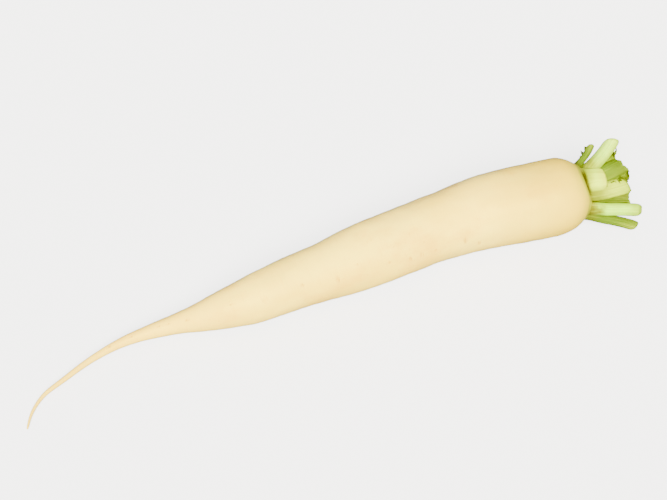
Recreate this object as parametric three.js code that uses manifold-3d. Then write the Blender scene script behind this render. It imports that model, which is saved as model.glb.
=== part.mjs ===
// A daikon radish as harvested: one long white root that lies on its side, with the stumps of its cut
// leaf stalks on the crown. Millimetres, +Z up. The origin is on the surface that the root lies on, at
// the flat spot under its weight. +X runs along the root to the crown, and the thin tail curls at -X.
import * as THREE from "three";
import { mergeVertices } from "three/addons/utils/BufferGeometryUtils.js";
import Module from "manifold-3d";

const wasm = await Module();
wasm.setup();

// ---------- Root: driving dimensions ----------

// The root's axis seen from above, from the crown's peak to the tip of the tail: [x, y].
const ROOT_PLAN = [
  [123, -21.4], [104, -17.5], [74, -9.2], [46, -2.4], [20, 1], [-25, 2], [-70, 1.4], [-110, 2.6],
  [-150, 3.4], [-180, 8.8], [-210, 15.2], [-243, 17.4], [-268, 13.4], [-294, 5], [-308, 0],
  [-321, -11], [-328, -22],
];
// Radius of the root at distances along its axis, counted from the crown's peak: [distance, radius].
const ROOT_RADIUS = [
  [0, 29.3], [36, 30], [75, 28.9], [105, 26.4], [133, 25.1], [171, 24.6], [193, 23.4], [218, 20.9],
  [248, 19.3], [275, 17.4], [290, 15.2], [303, 12.5], [318, 9.3], [335, 6.6], [353, 4.8], [378, 3.2],
  [405, 2.2], [433, 1.6], [469, 0.7],
];
// How far the root's underside stands off the surface. Below zero, the root is pressed flat on it.
const ROOT_LIFT = [
  [0, 4.4], [14, 3.2], [28, 1.2], [42, -0.2], [58, -0.8], [120, -0.8], [190, -0.8], [238, 0.6],
  [323, 2.2], [378, 2.8], [433, 1.6], [469, 0.4],
];
const SHOULDER_LENGTH = 29; // from the crown's peak to where the root has its full thickness
const SHOULDER_BLUNTNESS = 2.35; // 2 is a round shoulder, and more is blunter
const PEAK_RADIUS = 1.2; // the first ring of the shoulder
// A grown root isn't perfectly round: low swellings run slantwise round it.
//   lobes: swellings round the root; height: as a share of its radius
//   slant: length of root over which a lobe moves on by one radian; start: of the first lobe, in radians
const SWELLINGS = [
  { lobes: 2, height: 0.011, slant: 58, start: 0 },
  { lobes: 3, height: 0.007, slant: -31, start: 1.2 },
  { lobes: 5, height: 0.004, slant: 17, start: 0 },
];
const ROOT_SIDES = 32;
const SHOULDER_RINGS = 9;
const RING_STEP = 8.5; // between the rings of the root and of its tail

// ---------- Leaf stalks: driving dimensions ----------

const SINK = 3.5; // how deep a stalk's foot stands in the crown
const KNEE_SHARE = 0.45; // of the stalk's length, where its curve is pulled towards
const FOOT_SHARE = 0.35; // of its final lean and sway that a stalk has at its foot
const SHEATH_THICKNESS = 4.2; // of the thin clasping foot
const SHEATH_SHARE = 0.46; // of the stalk's length over which the foot narrows to the stalk
const MOST_CLASP = 1.2; // half the angle that a foot wraps round the crown's axis at most, in radians
const CHANNEL = 0.5; // half the angle that the stalk's own section bends through, in radians
const OUTER_SHARE = 0.62; // of the thickness that stands outside the section's middle line
const CUT_SHARPNESS = 4; // how late along the stalk its rings start to turn towards the slanting cut
const END_ROUNDING = 0.9; // of the cut end's edge
const STALK_RINGS = 9;
const SECTION_STEPS = 7; // across the width, on each face

// The stalks that were cut off above the crown, the outermost first.
//   around: the foot's angle about the crown's axis, in degrees from straight up, positive towards -Y
//   radius: of the foot about the crown's axis
//   lean, sway: of the cut end, outward and sideways from the crown's axis, in degrees
//   sheath: width of the clasping foot
//   width, thick: of the stalk at its cut end
//   cut: slopes of the knife's cut, outward and sideways across the stalk
//   blade: the side edges that still have a ragged strip of leaf blade, -1 and 1
const STALKS = [
  {
    around: 18, radius: 18.6, length: 17.5, lean: 8, sway: 12,
    sheath: 27, width: 20, thick: 7, cut: [0.1, 0.15], blade: [],
  },
  {
    around: 130, radius: 19, length: 47, lean: 26, sway: 12,
    sheath: 14, width: 9.5, thick: 7.5, cut: [-0.2, 0.1], blade: [],
  },
  {
    around: 262, radius: 19, length: 38, lean: 28, sway: 0,
    sheath: 20, width: 12, thick: 7, cut: [0.5, 0.2], blade: [],
  },
  {
    around: 181, radius: 18.4, length: 33, lean: 8, sway: 5,
    sheath: 18, width: 11.5, thick: 6.5, cut: [0.4, -0.2], blade: [],
  },
  {
    around: 312, radius: 17.6, length: 23, lean: 52, sway: -6,
    sheath: 18, width: 8, thick: 5, cut: [0.3, 0.5], blade: [-1],
  },
  {
    around: 97, radius: 18.2, length: 43, lean: 18, sway: 0,
    sheath: 15, width: 10.5, thick: 8.5, cut: [-0.25, 0.2], blade: [],
  },
  {
    around: 58, radius: 15, length: 32, lean: 16, sway: -9,
    sheath: 12, width: 11, thick: 8, cut: [0.2, 0.2], blade: [],
  },
  {
    around: 222, radius: 16.8, length: 41, lean: 18, sway: -5,
    sheath: 18, width: 10.5, thick: 7, cut: [0.3, 0.2], blade: [],
  },
  {
    around: -17, radius: 14, length: 36, lean: 56, sway: -3,
    sheath: 20, width: 13, thick: 8, cut: [0.3, 0.7], blade: [],
  },
  {
    around: 152, radius: 13.5, length: 31, lean: 12, sway: 8,
    sheath: 14, width: 10, thick: 6, cut: [0.2, 0.3], blade: [1],
  },
  {
    around: 9, radius: 12, length: 31.5, lean: 33, sway: 0,
    sheath: 16, width: 17, thick: 6, cut: [0.3, 0.4], blade: [-1, 1],
  },
  {
    around: 72, radius: 12, length: 31, lean: 24, sway: 3,
    sheath: 13, width: 10, thick: 6, cut: [0.4, 0.1], blade: [-1, 1],
  },
  {
    around: 298, radius: 11.5, length: 34, lean: 26, sway: 8,
    sheath: 14, width: 10, thick: 6, cut: [-0.3, 0.3], blade: [1],
  },
  {
    around: 232, radius: 9, length: 30, lean: 13, sway: 0,
    sheath: 12, width: 9, thick: 5.2, cut: [0.3, -0.3], blade: [-1],
  },
];

// The heart: the youngest leaves, small and close together, that share one foot.
const HEART = [
  {
    around: 340, radius: 3.6, length: 24, lean: 16, sway: 0,
    sheath: 9, width: 6.2, thick: 4.2, cut: [0.3, 0.2], blade: [],
  },
  {
    around: 112, radius: 3.6, length: 27, lean: 10, sway: 0,
    sheath: 8.5, width: 6, thick: 4, cut: [-0.3, 0.2], blade: [],
  },
  {
    around: 222, radius: 3.2, length: 20, lean: 18, sway: 0,
    sheath: 7, width: 4.6, thick: 3.4, cut: [0.4, 0], blade: [],
  },
  {
    around: 40, radius: 2, length: 17, lean: 10, sway: 0,
    sheath: 6, width: 4.2, thick: 3, cut: [0.2, 0], blade: [],
  },
];

// The ragged strip of leaf blade along the edge of some stalks.
const BLADE_THICKNESS = 0.9;
const BLADE_FROM = 0.45; // share of the stalk's length where the strip starts
const BLADE_RINGS = 13;
const BLADE_REACH = 4.8; // of the longest tooth, beyond the stalk's edge
const BLADE_LEAST = 0.5; // of the strip between two teeth
const BLADE_PAST = 2.5; // how far the strip runs past the cut end
const BLADE_ROOT = 1.8; // how deep the strip runs into the stalk
const BLADE_SPREAD = 18; // degrees that the strip stands outward

const CLEARANCE = 0.3; // between a stalk and whatever it touches
const SLIVER = 0.02; // faces thinner than this, left where two solids cross, join their neighbours
const UNDERGROUND = { length: 1000, width: 400, depth: 100 }; // the block that the root lies on

const SKIN = { color: 0xf3e3bd, roughness: 0.45, metalness: 0 };
const STALK_GREEN = { color: 0xcfdc8c, roughness: 0.5, metalness: 0 };
const HEART_GREEN = { color: 0xa9b83f, roughness: 0.55, metalness: 0 };

// ---------- Tools ----------

// A smooth curve through [at, value] points.
function through(points) {
  const at = points.map((point) => point[0]);
  const values = points.map((point) => point[1]);
  const curve = new THREE.CubicInterpolant(at, values, 1);
  return (where) => curve.evaluate(where)[0];
}

// A closed solid through rings of points, all with the same even number of points. The two sides of a
// ring face each other, from its point 0 to its middle point, and strips between them close both ends,
// so that a hollow-backed section closes too.
function loft(rings) {
  const size = rings[0].length;
  const corners = rings.flat().flatMap((point) => point.toArray());
  const faces = [];
  for (let ring = 0; ring + 1 < rings.length; ring += 1) {
    for (let k = 0; k < size; k += 1) {
      const here = ring * size + k;
      const next = ring * size + ((k + 1) % size);
      faces.push(here, next, here + size, next, next + size, here + size);
    }
  }
  const last = (rings.length - 1) * size;
  for (let k = 0; k < size / 2; k += 1) {
    const facing = (size - k) % size;
    const facingNext = size - k - 1;
    if (k > 0) {
      faces.push(k, facing, k + 1);
      faces.push(last + k, last + k + 1, last + facing);
    }
    if (facingNext !== k + 1) {
      faces.push(k + 1, facing, facingNext);
      faces.push(last + k + 1, last + facingNext, last + facing);
    }
  }
  const geometry = new THREE.BufferGeometry();
  geometry.setAttribute("position", new THREE.Float32BufferAttribute(corners, 3));
  geometry.setIndex(faces);
  return geometry;
}

// A three.js geometry as a manifold-3d solid.
function toSolid(geometry) {
  const bare = geometry.clone();
  bare.deleteAttribute("normal");
  bare.deleteAttribute("uv");
  const merged = mergeVertices(bare, 1e-4);
  const mesh = new wasm.Mesh({
    numProp: 3,
    vertProperties: new Float32Array(merged.attributes.position.array),
    triVerts: new Uint32Array(merged.index.array),
  });
  return new wasm.Manifold(mesh);
}

// One solid without what the others take up.
function without(solid, others) {
  return others.reduce((left, other) => left.subtract(other), solid);
}

// The largest body of a solid, without its slivers. A loose scrap that a cut leaves is dropped.
function largestBody(solid) {
  const bodies = solid.asOriginal().simplify(SLIVER).decompose();
  return bodies.reduce((best, body) => (body.volume() > best.volume() ? body : best));
}

// A manifold-3d solid as a named three.js mesh.
function toMesh(name, solid, finish) {
  const { numProp, vertProperties, triVerts } = solid.getMesh();
  const corners = [];
  for (let i = 0; i < vertProperties.length; i += numProp) {
    corners.push(vertProperties[i], vertProperties[i + 1], vertProperties[i + 2]);
  }
  const geometry = new THREE.BufferGeometry();
  geometry.setAttribute("position", new THREE.Float32BufferAttribute(corners, 3));
  geometry.setIndex([...triVerts]);
  geometry.computeVertexNormals();
  const mesh = new THREE.Mesh(geometry, new THREE.MeshStandardMaterial(finish));
  mesh.name = name;
  return mesh;
}

// ---------- Root ----------

const rootRadius = through(ROOT_RADIUS);
const rootLift = through(ROOT_LIFT);
const rootPlan = new THREE.CatmullRomCurve3(ROOT_PLAN.map(([x, y]) => new THREE.Vector3(x, y, 0)));
const rootLength = rootPlan.getLength();

// The root's axis at a distance from the crown's peak: its point, and the directions along it, to its
// side and up from it.
function rootFrame(distance) {
  const share = THREE.MathUtils.clamp(distance / rootLength, 0, 1);
  const point = rootPlan.getPointAt(share);
  point.z = rootRadius(distance) + rootLift(distance);
  const along = rootPlan.getTangentAt(share);
  const up = new THREE.Vector3(0, 0, 1);
  const side = new THREE.Vector3().crossVectors(up, along).normalize();
  return { point, along, side, up };
}

// The rounded shoulder follows one curve, which is the same both ways: the share of the full radius that
// is reached at a share of the shoulder's length, each counted from where the root is full.
function shoulder(share) {
  return (1 - share ** SHOULDER_BLUNTNESS) ** (1 / SHOULDER_BLUNTNESS);
}

// How far behind the crown's peak the shoulder is at a distance from the root's axis.
function shoulderDepth(radius) {
  return SHOULDER_LENGTH * (1 - shoulder(Math.min(radius / ROOT_RADIUS[0][1], 1)));
}

// The root's radius with its rounded shoulder.
function skinRadius(distance) {
  if (distance >= SHOULDER_LENGTH) return rootRadius(distance);
  return Math.max(PEAK_RADIUS, rootRadius(distance) * shoulder(1 - distance / SHOULDER_LENGTH));
}

// What the swellings make of the radius at an angle round the root, as a factor.
function swollen(distance, angle) {
  return SWELLINGS.reduce((sum, swelling) => {
    const turn = swelling.lobes * angle + distance / swelling.slant + swelling.start;
    return sum + swelling.height * Math.sin(turn);
  }, 1);
}

// Distances of the root's rings, closer together round the shoulder.
function rootDistances() {
  const distances = [];
  for (let i = 0; i < SHOULDER_RINGS; i += 1) {
    distances.push(SHOULDER_LENGTH * (1 - Math.cos((i / SHOULDER_RINGS) * (Math.PI / 2))));
  }
  const steps = Math.round((rootLength - SHOULDER_LENGTH) / RING_STEP);
  for (let i = 0; i <= steps; i += 1) {
    distances.push(THREE.MathUtils.lerp(SHOULDER_LENGTH, rootLength, i / steps));
  }
  return distances;
}

// The whole root, pressed flat where it lies.
function rootSolid() {
  const rings = rootDistances().map((distance) => {
    const { point, side, up } = rootFrame(distance);
    return Array.from({ length: ROOT_SIDES }, (_, k) => {
      const angle = (k / ROOT_SIDES) * 2 * Math.PI;
      const radius = skinRadius(distance) * swollen(distance, angle);
      return point.clone()
        .addScaledVector(side, radius * Math.cos(angle))
        .addScaledVector(up, radius * Math.sin(angle));
    });
  });
  const { length, width, depth } = UNDERGROUND;
  const surface = new THREE.BoxGeometry(length, width, depth).translate(0, 0, -depth / 2);
  return toSolid(loft(rings)).subtract(toSolid(surface));
}

// ---------- Leaf stalks ----------

const crown = rootFrame(0);
const crownAxis = crown.along.clone().negate();
const crownSide = new THREE.Vector3().crossVectors(crownAxis, crown.up).normalize();

// The direction away from the crown's axis at an angle round it.
function outward(around) {
  const angle = THREE.MathUtils.degToRad(around);
  return new THREE.Vector3()
    .addScaledVector(crown.up, Math.cos(angle))
    .addScaledVector(crownSide, Math.sin(angle));
}

// The direction of a stalk that has taken a share of its lean and its sway.
function heading(stalk, share) {
  const lean = THREE.MathUtils.degToRad(stalk.lean * share);
  const sway = THREE.MathUtils.degToRad(stalk.sway * share);
  return crownAxis.clone()
    .multiplyScalar(Math.cos(lean))
    .addScaledVector(outward(stalk.around), Math.sin(lean))
    .multiplyScalar(Math.cos(sway))
    .addScaledVector(outward(stalk.around + 90), Math.sin(sway));
}

// The middle line of a stalk, from its foot in the crown to its cut end.
function stalkLine(stalk) {
  const foot = crown.point.clone()
    .addScaledVector(crownAxis, -shoulderDepth(stalk.radius) - SINK)
    .addScaledVector(outward(stalk.around), stalk.radius);
  const knee = foot.clone()
    .addScaledVector(heading(stalk, FOOT_SHARE), stalk.length * KNEE_SHARE);
  const end = knee.clone()
    .addScaledVector(heading(stalk, 1), stalk.length * (1 - KNEE_SHARE));
  return new THREE.QuadraticBezierCurve3(foot, knee, end);
}

// The stalk at a share of its length: its frame, its width and thickness, and the angle that half its
// section bends through.
function stalkStation(stalk, share) {
  const { lerp, smoothstep } = THREE.MathUtils;
  const line = stalkLine(stalk);
  const along = line.getTangentAt(share);
  const out = outward(stalk.around);
  out.addScaledVector(along, -out.dot(along)).normalize();
  const grown = smoothstep(share, 0, SHEATH_SHARE);
  const clasp = Math.min(stalk.sheath / (2 * stalk.radius), MOST_CLASP);
  return {
    middle: line.getPointAt(share),
    along,
    out,
    across: new THREE.Vector3().crossVectors(along, out),
    width: lerp(stalk.sheath, stalk.width, grown),
    thick: lerp(Math.min(SHEATH_THICKNESS, stalk.thick), stalk.thick, grown),
    bend: lerp(clasp, CHANNEL, grown),
    slopes: stalk.cut.map((slope) => slope * share ** CUT_SHARPNESS),
  };
}

// A point of the stalk's section. across runs from -1 to 1 over its width, and height is outward from its
// middle line.
function sectionPoint(station, across, height) {
  const bow = station.width / (2 * station.bend);
  const angle = across * station.bend;
  const sideways = (bow + height) * Math.sin(angle);
  const outwards = (bow + height) * Math.cos(angle) - bow;
  return station.middle.clone()
    .addScaledVector(station.across, sideways)
    .addScaledVector(station.out, outwards)
    .addScaledVector(station.along, station.slopes[0] * outwards + station.slopes[1] * sideways);
}

// One ring of the stalk: its rounded outer face and its flatter inner face. extra makes it larger.
function stalkRing(station, extra) {
  const wide = { ...station, width: station.width + 2 * extra };
  const thick = station.thick + 2 * extra;
  const ring = [];
  for (let k = 0; k < 2 * SECTION_STEPS; k += 1) {
    const turn = (k / SECTION_STEPS) * Math.PI;
    const share = k < SECTION_STEPS ? OUTER_SHARE : 1 - OUTER_SHARE;
    ring.push(sectionPoint(wide, -Math.cos(turn), thick * share * Math.sin(turn)));
  }
  return ring;
}

// A stalk without its blade. extra makes it larger all round and longer at both ends.
function stalkSolid(stalk, extra) {
  const rings = [];
  for (let i = 0; i < STALK_RINGS; i += 1) {
    const station = stalkStation(stalk, i / (STALK_RINGS - 1));
    if (i === 0) station.middle.addScaledVector(station.along, -extra);
    rings.push(stalkRing(station, extra));
  }
  const end = stalkStation(stalk, 1);
  end.middle.addScaledVector(end.along, END_ROUNDING + extra);
  rings.push(stalkRing(end, extra - END_ROUNDING));
  return toSolid(loft(rings));
}

// How far the ragged blade reaches beyond the stalk's edge: long and short teeth in turn, none alike.
function toothReach(index, stalk, side) {
  const uneven = 0.6 + 0.4 * Math.sin(2.3 * index + 1.7 * side + stalk.around);
  const tooth = index % 2 === 1 ? 1 : 0.25;
  return BLADE_LEAST + BLADE_REACH * uneven * tooth;
}

// The ragged strip of blade along one edge of a stalk, spread outward. side is -1 or 1.
function bladeSolid(stalk, side) {
  const rings = [];
  const spread = THREE.MathUtils.degToRad(BLADE_SPREAD);
  for (let i = 0; i < BLADE_RINGS; i += 1) {
    const share = THREE.MathUtils.lerp(BLADE_FROM, 1, i / (BLADE_RINGS - 1));
    const station = stalkStation(stalk, share);
    if (i === BLADE_RINGS - 1) station.middle.addScaledVector(station.along, BLADE_PAST);
    const near = sectionPoint(station, side * (1 - BLADE_ROOT / (station.width / 2)), 0);
    const sideways = station.across.clone().multiplyScalar(side);
    const reach = BLADE_ROOT + toothReach(i, stalk, side);
    const far = near.clone()
      .addScaledVector(sideways, reach * Math.cos(spread))
      .addScaledVector(station.out, reach * Math.sin(spread));
    const half = station.out.clone()
      .multiplyScalar(Math.cos(spread))
      .addScaledVector(sideways, -Math.sin(spread))
      .multiplyScalar(side * (BLADE_THICKNESS / 2));
    rings.push([
      near.clone().sub(half),
      near.clone().add(half),
      far.clone().add(half),
      far.clone().sub(half),
    ]);
  }
  return toSolid(loft(rings));
}

// A stalk with what is left of its blade. extra makes the stalk larger all round.
function leafySolid(stalk, extra = 0) {
  const blades = stalk.blade.map((side) => bladeSolid(stalk, side));
  return blades.reduce((joined, blade) => joined.add(blade), stalkSolid(stalk, extra));
}

// ---------- The whole plant ----------

const daikon = new THREE.Group();

// Each stalk is cut clear of the ones that grew before it, and the root has a socket for every foot.
const spaces = STALKS.map((stalk) => leafySolid(stalk, CLEARANCE));
const stalks = STALKS.map((stalk, i) => largestBody(without(leafySolid(stalk), spaces.slice(0, i))));
const heartLeaves = HEART.map((leaf) => leafySolid(leaf)).reduce((joined, leaf) => joined.add(leaf));
const heart = largestBody(without(heartLeaves, spaces));
const heartSpaces = HEART.map((leaf) => leafySolid(leaf, CLEARANCE));
const root = largestBody(without(rootSolid(), [...spaces, ...heartSpaces]));

daikon.add(toMesh("taproot", root, SKIN));
stalks.forEach((stalk, index) => {
  const number = String(index + 1).padStart(2, "0");
  daikon.add(toMesh(`leaf_stalk_${number}`, stalk, STALK_GREEN));
});
daikon.add(toMesh("heart_leaves", heart, HEART_GREEN));

export default daikon;
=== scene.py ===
"""A daikon radish as harvested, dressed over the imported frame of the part.

One long white root lies on its side. Its crown carries the stumps of its cut leaf stalks, some with a
ragged strip of leaf blade left on them, round a heart of small young leaves. The classes hold sizes in
millimetres, and each mesh is in metres in the frame of the part: +X runs along the root to the crown, and
+Z is up from the surface that the root lies on.
"""

from __future__ import annotations

import bisect
import logging
import math
import random
from collections.abc import Sequence
from dataclasses import dataclass, field, replace
from enum import Enum
from functools import cache

import bmesh
import bpy
from mathutils import Euler, Matrix, Vector, noise


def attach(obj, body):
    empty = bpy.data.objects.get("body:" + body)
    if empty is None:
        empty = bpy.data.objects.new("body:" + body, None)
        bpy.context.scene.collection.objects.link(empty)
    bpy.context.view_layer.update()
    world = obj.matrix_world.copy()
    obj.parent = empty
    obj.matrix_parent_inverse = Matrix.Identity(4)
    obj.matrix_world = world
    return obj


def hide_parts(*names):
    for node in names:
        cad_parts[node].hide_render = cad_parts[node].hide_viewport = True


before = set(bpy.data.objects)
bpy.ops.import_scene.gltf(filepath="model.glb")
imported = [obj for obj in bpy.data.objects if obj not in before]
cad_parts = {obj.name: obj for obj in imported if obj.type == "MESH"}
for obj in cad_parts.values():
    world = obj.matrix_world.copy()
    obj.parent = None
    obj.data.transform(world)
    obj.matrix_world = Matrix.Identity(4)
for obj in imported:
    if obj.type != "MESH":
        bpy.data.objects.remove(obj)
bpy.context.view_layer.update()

LOG = logging.getLogger("daikon")
MM = 0.001
TURN = 2.0 * math.pi
UP = Vector((0.0, 0.0, 1.0))

Piece = bpy.types.Object
Socket = bpy.types.NodeSocket
Span = tuple[float, float]
Triple = tuple[float, float, float]


# ---------- Numbers and curves ----------


def lerp(start: float, end: float, share: float) -> float:
    """Returns the value at a share of the way from start to end."""
    return start + (end - start) * share


def smooth(value: float, start: float, end: float) -> float:
    """Returns 0 up to start, 1 from end on and a smooth step between. Start may also be the larger."""
    share = min(max((value - start) / (end - start), 0.0), 1.0)
    return share * share * (3.0 - 2.0 * share)


class Curve:
    """A smooth curve through given values, straight where it starts and where it ends."""

    def __init__(self, points: Sequence[Sequence[float]]) -> None:
        """Keeps the points and works out the slope at each.

        Args:
            points: Rows of a place and its value, in the order of their places.
        """
        self.places = [row[0] for row in points]
        self.values = [row[1] for row in points]
        rows = list(zip(points, points[1:]))
        secants = [(after[1] - before[1]) / (after[0] - before[0]) for before, after in rows]
        inner = [(before + after) / 2.0 for before, after in zip(secants, secants[1:])]
        self.slopes = [secants[0], *inner, secants[-1]]

    def at(self, place: float) -> float:
        """Reads the curve.

        Args:
            place: Where to read it. Outside its ends, the end's value holds.

        Returns:
            The value there.
        """
        place = min(max(place, self.places[0]), self.places[-1])
        i = min(max(bisect.bisect_right(self.places, place) - 1, 0), len(self.places) - 2)
        step = self.places[i + 1] - self.places[i]
        t = (place - self.places[i]) / step
        rise = self.values[i + 1] - self.values[i]
        early = t * (1.0 - t) ** 2 * step * self.slopes[i]
        late = -t * t * (1.0 - t) * step * self.slopes[i + 1]
        return self.values[i] + rise * t * t * (3.0 - 2.0 * t) + early + late


def linear(colour: str) -> tuple[float, float, float, float]:
    """Turns an sRGB hex colour into the linear one that the shader takes.

    Args:
        colour: Six hex digits after a #.

    Returns:
        Linear red, green, blue and an alpha of one.
    """
    parts = [int(colour[i : i + 2], 16) / 255.0 for i in (1, 3, 5)]
    red, green, blue = (c / 12.92 if c <= 0.04045 else ((c + 0.055) / 1.055) ** 2.4 for c in parts)
    return red, green, blue, 1.0


# ---------- Modelling in edit mode ----------


def pick(*pieces: Piece) -> None:
    """Leaves edit mode and selects some pieces alone, or none.

    Args:
        pieces: What to select, with the piece to make active first.
    """
    if bpy.context.object is not None and bpy.context.object.mode == "EDIT":
        bpy.ops.object.mode_set(mode="OBJECT")
    bpy.ops.object.select_all(action="DESELECT")
    for piece in pieces:
        piece.select_set(True)
    if pieces:
        bpy.context.view_layer.objects.active = pieces[0]


def join(pieces: Sequence[Piece]) -> Piece:
    """Joins pieces into the first of them.

    Args:
        pieces: The mesh objects.

    Returns:
        The first, which now holds them all.
    """
    pick(*pieces)
    bpy.ops.object.join()
    return pieces[0]


def named_primitive(name: str) -> Piece:
    """Names the primitive that was just added.

    Args:
        name: The object's name.

    Returns:
        The primitive.
    """
    piece = bpy.context.active_object
    piece.name = piece.data.name = name
    return piece


def apply_modifier(piece: Piece, name: str, kind: str, settings: dict[str, object]) -> None:
    """Adds a modifier to a piece and applies it.

    Args:
        piece: The mesh object.
        name: The modifier's name.
        kind: The modifier's type.
        settings: Its properties by name.
    """
    pick(piece)
    modifier = piece.modifiers.new(name, kind)
    for key, value in settings.items():
        setattr(modifier, key, value)
    bpy.ops.object.modifier_apply(modifier=modifier.name)


def round_off(piece: Piece, levels: int) -> None:
    """Quarters each face of a piece as many times as there are levels, and smooths its form."""
    apply_modifier(piece, "Smooth growth", "SUBSURF", {"levels": levels, "render_levels": levels})


def settle(piece: Piece) -> None:
    """Merges doubled corners, points all the faces outwards and shades the faces smooth.

    Args:
        piece: The mesh object.
    """
    pick(piece)
    bpy.ops.object.mode_set(mode="EDIT")
    bpy.ops.mesh.select_all(action="SELECT")
    bpy.ops.mesh.remove_doubles(threshold=1e-7)
    bpy.ops.mesh.normals_make_consistent(inside=False)
    bpy.ops.object.mode_set(mode="OBJECT")
    bpy.ops.object.shade_smooth()


def write_attributes(piece: Piece, **attributes: Sequence[float] | Sequence[Vector]) -> None:
    """Writes values for each corner point of a piece, for its material to read.

    Args:
        piece: The mesh object.
        attributes: Under each attribute's name, a number or a vector for each of the mesh's points.
    """
    for name, values in attributes.items():
        if isinstance(values[0], Vector):
            attribute = piece.data.attributes.new(name, "FLOAT_VECTOR", "POINT")
            attribute.data.foreach_set("vector", [part for value in values for part in value])
        else:
            attribute = piece.data.attributes.new(name, "FLOAT", "POINT")
            attribute.data.foreach_set("value", values)


class Sprout:
    """A closed shape that is grown in edit mode: its end face is extruded from section to section."""

    def __init__(self, name: str, section: Sequence[Vector]) -> None:
        """Starts from a filled circle whose corners are laid on the first section.

        Args:
            name: The object's name.
            section: The first section's corners, in millimetres.
        """
        pick()
        bpy.ops.mesh.primitive_circle_add(vertices=len(section), radius=MM, fill_type="NGON")
        self.piece = named_primitive(name)
        bpy.ops.object.mode_set(mode="EDIT")
        self.rings = [list(range(len(section)))]
        self._lay(section)

    def _lay(self, section: Sequence[Vector]) -> None:
        """Lays the corners of the newest ring on a section.

        Args:
            section: Its corners, in millimetres.
        """
        form = bmesh.from_edit_mesh(self.piece.data)
        form.verts.ensure_lookup_table()
        for index, corner in zip(self.rings[-1], section):
            form.verts[index].co = corner * MM
        bmesh.update_edit_mesh(self.piece.data)

    def grow(self, section: Sequence[Vector]) -> None:
        """Extrudes the end face and lays it on the next section.

        Args:
            section: The section's corners, in millimetres, in the order of the first one's.
        """
        bpy.ops.mesh.extrude_region_move()
        form = bmesh.from_edit_mesh(self.piece.data)
        form.verts.ensure_lookup_table()
        form.verts.index_update()
        newest = []
        for index in self.rings[-1]:
            corner = form.verts[index]
            others = (edge.other_vert(corner) for edge in corner.link_edges)
            newest.append(next(other.index for other in others if other.select))
        self.rings.append(newest)
        self._lay(section)

    def done(self) -> Piece:
        """Returns the piece, out of edit mode and with its faces outwards."""
        settle(self.piece)
        return self.piece


# ---------- Shader nodes ----------


def set_inputs(node: bpy.types.Node, inputs: dict[str | int, object]) -> None:
    """Links or sets some of a node's inputs.

    Args:
        node: The node.
        inputs: For each input, by name or index, a socket to link it to or a value to set.
    """
    for name, value in inputs.items():
        if isinstance(value, Socket):
            node.id_data.links.new(value, node.inputs[name])
        else:
            node.inputs[name].default_value = value


def add_node(
    tree: bpy.types.NodeTree,
    kind: str,
    settings: dict[str, object] | None = None,
    inputs: dict[str | int, object] | None = None,
) -> bpy.types.Node:
    """Adds a shader node with its settings, values and links.

    Args:
        tree: The material's node tree.
        kind: The node's type.
        settings: Properties of the node by name.
        inputs: For each input, by name or index, a socket to link it to or a value to set.

    Returns:
        The new node.
    """
    node = tree.nodes.new(kind)
    for name, value in (settings or {}).items():
        setattr(node, name, value)
    set_inputs(node, inputs or {})
    return node


def new_material(name: str, values: dict[str, object]) -> bpy.types.Material:
    """Starts a material that is the same all over.

    Args:
        name: The material's name.
        values: What its shader's inputs are, by name.

    Returns:
        The material.
    """
    material = bpy.data.materials.new(name)
    material.use_nodes = True
    set_inputs(material.node_tree.nodes["Principled BSDF"], values)
    return material


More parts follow.
